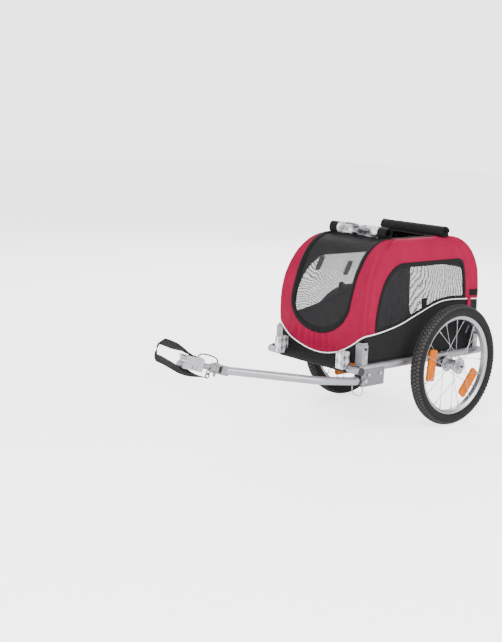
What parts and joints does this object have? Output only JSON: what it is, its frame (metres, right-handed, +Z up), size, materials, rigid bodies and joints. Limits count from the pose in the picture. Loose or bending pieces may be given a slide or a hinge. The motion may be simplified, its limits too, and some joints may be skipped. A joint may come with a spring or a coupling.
{
  "type": "dog bike trailer",
  "caption": "Two-wheeled dog trailer with a folding fabric cabin on a tubular frame, a side tow bar and a swivelling clamp coupling for a bicycle stay.",
  "frame": {"origin": "on the ground under the middle of the whole trailer, tow bar and strap included", "axes": "+Z up, +Y from the hitch to the rear, +X to the side that carries the tow bar"},
  "size_m": [0.5606, 1.3064, 0.6453],
  "materials": {
    "frame_tube": "satin",
    "bracket_steel": "satin",
    "bright_steel": "polished",
    "cast_alloy": "cast",
    "rim_alloy": "brushed",
    "black_plastic": "matte",
    "floor_board": "matte",
    "rubber_seal": "matte",
    "tyre_rubber": "matte",
    "red_cloth": "woven",
    "black_cloth": "woven",
    "mesh": "mesh",
    "webbing": "woven",
    "clear_film": "glossy",
    "orange_lens": "glossy",
    "clear_lens": "glossy",
    "red_lens": "glossy"
  },
  "bodies": {
    "frame": {"side_tubes": "frame_tube", "cross_tubes": "frame_tube", "tube_end_plugs": "black_plastic", "floor_panel": "floor_board", "axle_brackets": "black_plastic", "front_reflector_housings": "black_plastic", "front_reflector_lenses": "clear_lens", "rear_reflectors": "red_lens", "hinge_brackets": "bracket_steel", "hinge_pins": "bright_steel", "tow_bar": "frame_tube", "tow_receiver": "bracket_steel", "receiver_bolts": "bright_steel", "receiver_seal": "rubber_seal", "hitch_fork": "cast_alloy", "hitch_pin": "bright_steel", "cover_front": "red_cloth", "cover_left": "red_cloth", "cover_right": "red_cloth", "cover_roof": "red_cloth", "cover_rear": "red_cloth", "mesh_windows": "mesh", "lower_walls": "black_cloth", "rain_cover_roll": "clear_film", "roof_cover_roll": "black_cloth"},
    "front_hoop": {"front_hoop_tube": "frame_tube", "front_hoop_feet": "bracket_steel"},
    "rear_hoop": {"rear_hoop_tube": "frame_tube", "rear_hoop_feet": "bracket_steel"},
    "lock_pin": {"lock_pin": "bright_steel"},
    "pin_bail": {"pin_bail": "bright_steel"},
    "swivel": {"swivel_yoke": "cast_alloy", "snap_hook": "black_plastic", "flex_spring": "bright_steel", "pin_leash": "webbing"},
    "coupling": {"coupling_block": "cast_alloy", "coupling_bolts": "bright_steel", "strap_ring": "bright_steel", "strap_loop": "webbing", "safety_tether": "webbing"},
    "left_front_lock_button": {"left_front_lock_button": "black_plastic"},
    "right_front_lock_button": {"right_front_lock_button": "black_plastic"},
    "left_rear_lock_button": {"left_rear_lock_button": "black_plastic"},
    "right_rear_lock_button": {"right_rear_lock_button": "black_plastic"},
    "left_axle": {"left_axle": "bright_steel"},
    "left_wheel": {"left_tyre": "tyre_rubber", "left_rim": "rim_alloy", "left_hub": "cast_alloy", "left_bearings": "bright_steel", "left_spokes": "bright_steel", "left_wheel_reflectors": "orange_lens"},
    "left_axle_button": {"left_axle_button": "black_plastic"},
    "right_axle": {"right_axle": "bright_steel"},
    "right_wheel": {"right_tyre": "tyre_rubber", "right_rim": "rim_alloy", "right_hub": "cast_alloy", "right_bearings": "bright_steel", "right_spokes": "bright_steel", "right_wheel_reflectors": "orange_lens"},
    "right_axle_button": {"right_axle_button": "black_plastic"}
  },
  "joints": [
    {"name": "front_hoop_fold", "type": "hinge", "parent": "frame", "child": "front_hoop", "pos_m": [0, 0.07865, 0.258], "axis": [-1, 0, 0], "range_deg": [0, 66], "deforming": ["cover_front", "cover_left", "cover_right", "cover_roof", "cover_rear", "mesh_windows", "lower_walls", "rain_cover_roll", "roof_cover_roll"]},
    {"name": "rear_hoop_fold", "type": "hinge", "parent": "frame", "child": "rear_hoop", "pos_m": [0, 0.61715, 0.258], "axis": [1, 0, 0], "range_deg": [0, 66]},
    {"name": "lock_pin_pull", "type": "slide", "parent": "frame", "child": "lock_pin", "axis": [1, 0, 0], "range_m": [0, 0.06]},
    {"name": "bail_swing", "type": "hinge", "parent": "lock_pin", "child": "pin_bail", "pos_m": [0.2126, 0.06815, 0.187], "axis": [0, -1, 0], "range_deg": [0, 100]},
    {"name": "hitch_yaw", "type": "hinge", "parent": "frame", "child": "swivel", "pos_m": [0.1, -0.43883, 0.2659], "axis": [0, 0.2874, 0.9578], "range_deg": [-60, 60]},
    {"name": "coupling_flex", "type": "hinge", "parent": "swivel", "child": "coupling", "pos_m": [0.1, -0.48002, 0.27825], "axis": [1, 0, 0], "range_deg": [-25, 25], "stiffness_Nm_per_rad": 30, "deforming": ["flex_spring", "safety_tether", "pin_leash"]},
    {"name": "left_front_lock_button_press", "type": "slide", "parent": "frame", "child": "left_front_lock_button", "axis": [-1, 0, 0], "range_m": [0, 0.003], "stiffness_N_per_m": 800},
    {"name": "right_front_lock_button_press", "type": "slide", "parent": "frame", "child": "right_front_lock_button", "axis": [1, 0, 0], "range_m": [0, 0.003], "stiffness_N_per_m": 800},
    {"name": "left_rear_lock_button_press", "type": "slide", "parent": "frame", "child": "left_rear_lock_button", "axis": [-1, 0, 0], "range_m": [0, 0.003], "stiffness_N_per_m": 800},
    {"name": "right_rear_lock_button_press", "type": "slide", "parent": "frame", "child": "right_rear_lock_button", "axis": [1, 0, 0], "range_m": [0, 0.003], "stiffness_N_per_m": 800},
    {"name": "left_axle_pull", "type": "slide", "parent": "frame", "child": "left_axle", "axis": [1, 0, 0], "range_m": [0, 0.1]},
    {"name": "left_wheel_spin", "type": "hinge", "parent": "left_axle", "child": "left_wheel", "pos_m": [0.242, 0.45315, 0.2], "axis": [1, 0, 0], "continuous": true},
    {"name": "left_axle_button_press", "type": "slide", "parent": "left_axle", "child": "left_axle_button", "axis": [-1, 0, 0], "range_m": [0, 0.003], "stiffness_N_per_m": 800},
    {"name": "right_axle_pull", "type": "slide", "parent": "frame", "child": "right_axle", "axis": [-1, 0, 0], "range_m": [0, 0.1]},
    {"name": "right_wheel_spin", "type": "hinge", "parent": "right_axle", "child": "right_wheel", "pos_m": [-0.242, 0.45315, 0.2], "axis": [1, 0, 0], "continuous": true},
    {"name": "right_axle_button_press", "type": "slide", "parent": "right_axle", "child": "right_axle_button", "axis": [1, 0, 0], "range_m": [0, 0.003], "stiffness_N_per_m": 800}
  ],
  "couplings": [
    {"joint": "rear_hoop_fold", "follows": "front_hoop_fold", "ratio": 1}
  ]
}
